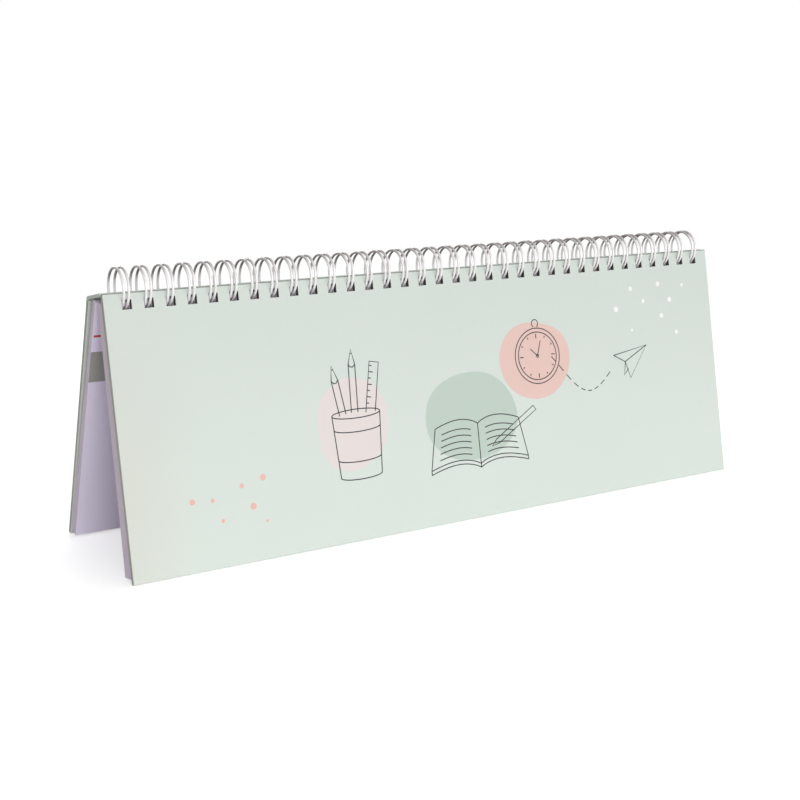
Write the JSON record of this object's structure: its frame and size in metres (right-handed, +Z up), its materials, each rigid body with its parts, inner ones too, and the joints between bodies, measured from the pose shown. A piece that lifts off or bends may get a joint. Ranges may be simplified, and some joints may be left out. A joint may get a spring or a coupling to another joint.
{
  "type": "desk calendar",
  "caption": "Tent-shaped desk calendar: hard front cover and loose leaves turning on a twin-loop wire, with a fold-down stand panel behind.",
  "frame": {"origin": "on the surface that the calendar stands on, in the middle of its footprint", "axes": "+X along the binding to the right as the cover is read, +Y from the front cover to the stand, +Z up"},
  "size_m": [0.297, 0.072, 0.1121],
  "materials": {
    "cover_paper": "matt printed cover paper, pale mint",
    "greyboard": "raw grey board",
    "lining_paper": "matt white lining paper",
    "leaf_paper": "uncoated white paper",
    "wire": "bright silver coated steel wire"
  },
  "bodies": {
    "spine": {"spine_board": "greyboard", "spine_wrap": "cover_paper", "spine_liner": "lining_paper", "binding_wire": "wire"},
    "front_cover": {"front_board": "greyboard", "front_wrap": "cover_paper", "front_liner": "lining_paper"},
    "first_leaf": {"front_leaf_01": "leaf_paper"},
    "second_leaf": {"front_leaf_02": "leaf_paper"},
    "front_leaves": {"front_leaf_03": "leaf_paper", "front_leaf_04": "leaf_paper", "front_leaf_05": "leaf_paper", "front_leaf_06": "leaf_paper", "front_leaf_07": "leaf_paper", "front_leaf_08": "leaf_paper", "front_leaf_09": "leaf_paper", "front_leaf_10": "leaf_paper", "front_leaf_11": "leaf_paper", "front_leaf_12": "leaf_paper", "front_leaf_13": "leaf_paper", "front_leaf_14": "leaf_paper"},
    "stand": {"stand_board": "greyboard", "stand_wrap": "cover_paper", "stand_liner": "lining_paper"},
    "back_leaves": {"back_leaf_01": "leaf_paper", "back_leaf_02": "leaf_paper", "back_leaf_03": "leaf_paper", "back_leaf_04": "leaf_paper", "back_leaf_05": "leaf_paper", "back_leaf_06": "leaf_paper", "back_leaf_07": "leaf_paper", "back_leaf_08": "leaf_paper"}
  },
  "joints": [
    {"name": "front_leaves_turn", "type": "hinge", "parent": "spine", "child": "front_leaves", "pos_m": [0, -0.00968, 0.10365], "axis": [-1, 0, 0], "range_deg": [0, 14]},
    {"name": "second_leaf_turn", "type": "hinge", "parent": "front_leaves", "child": "second_leaf", "pos_m": [0, -0.00968, 0.10365], "axis": [-1, 0, 0], "range_deg": [0, 16]},
    {"name": "first_leaf_turn", "type": "hinge", "parent": "second_leaf", "child": "first_leaf", "pos_m": [0, -0.00968, 0.10365], "axis": [-1, 0, 0], "range_deg": [0, 24]},
    {"name": "front_cover_turn", "type": "hinge", "parent": "first_leaf", "child": "front_cover", "pos_m": [0, -0.00968, 0.10365], "axis": [-1, 0, 0], "range_deg": [0, 130]},
    {"name": "stand_fold", "type": "hinge", "parent": "spine", "child": "stand", "pos_m": [0, -0.00099, 0.09866], "axis": [-1, 0, 0], "range_deg": [0, 30.65]},
    {"name": "back_leaves_turn", "type": "hinge", "parent": "spine", "child": "back_leaves", "pos_m": [0, -0.00968, 0.10365], "axis": [-1, 0, 0], "range_deg": [0, 29.2]}
  ],
  "couplings": [
    {"joint": "back_leaves_turn", "follows": "stand_fold", "ratio": 0.95}
  ]
}
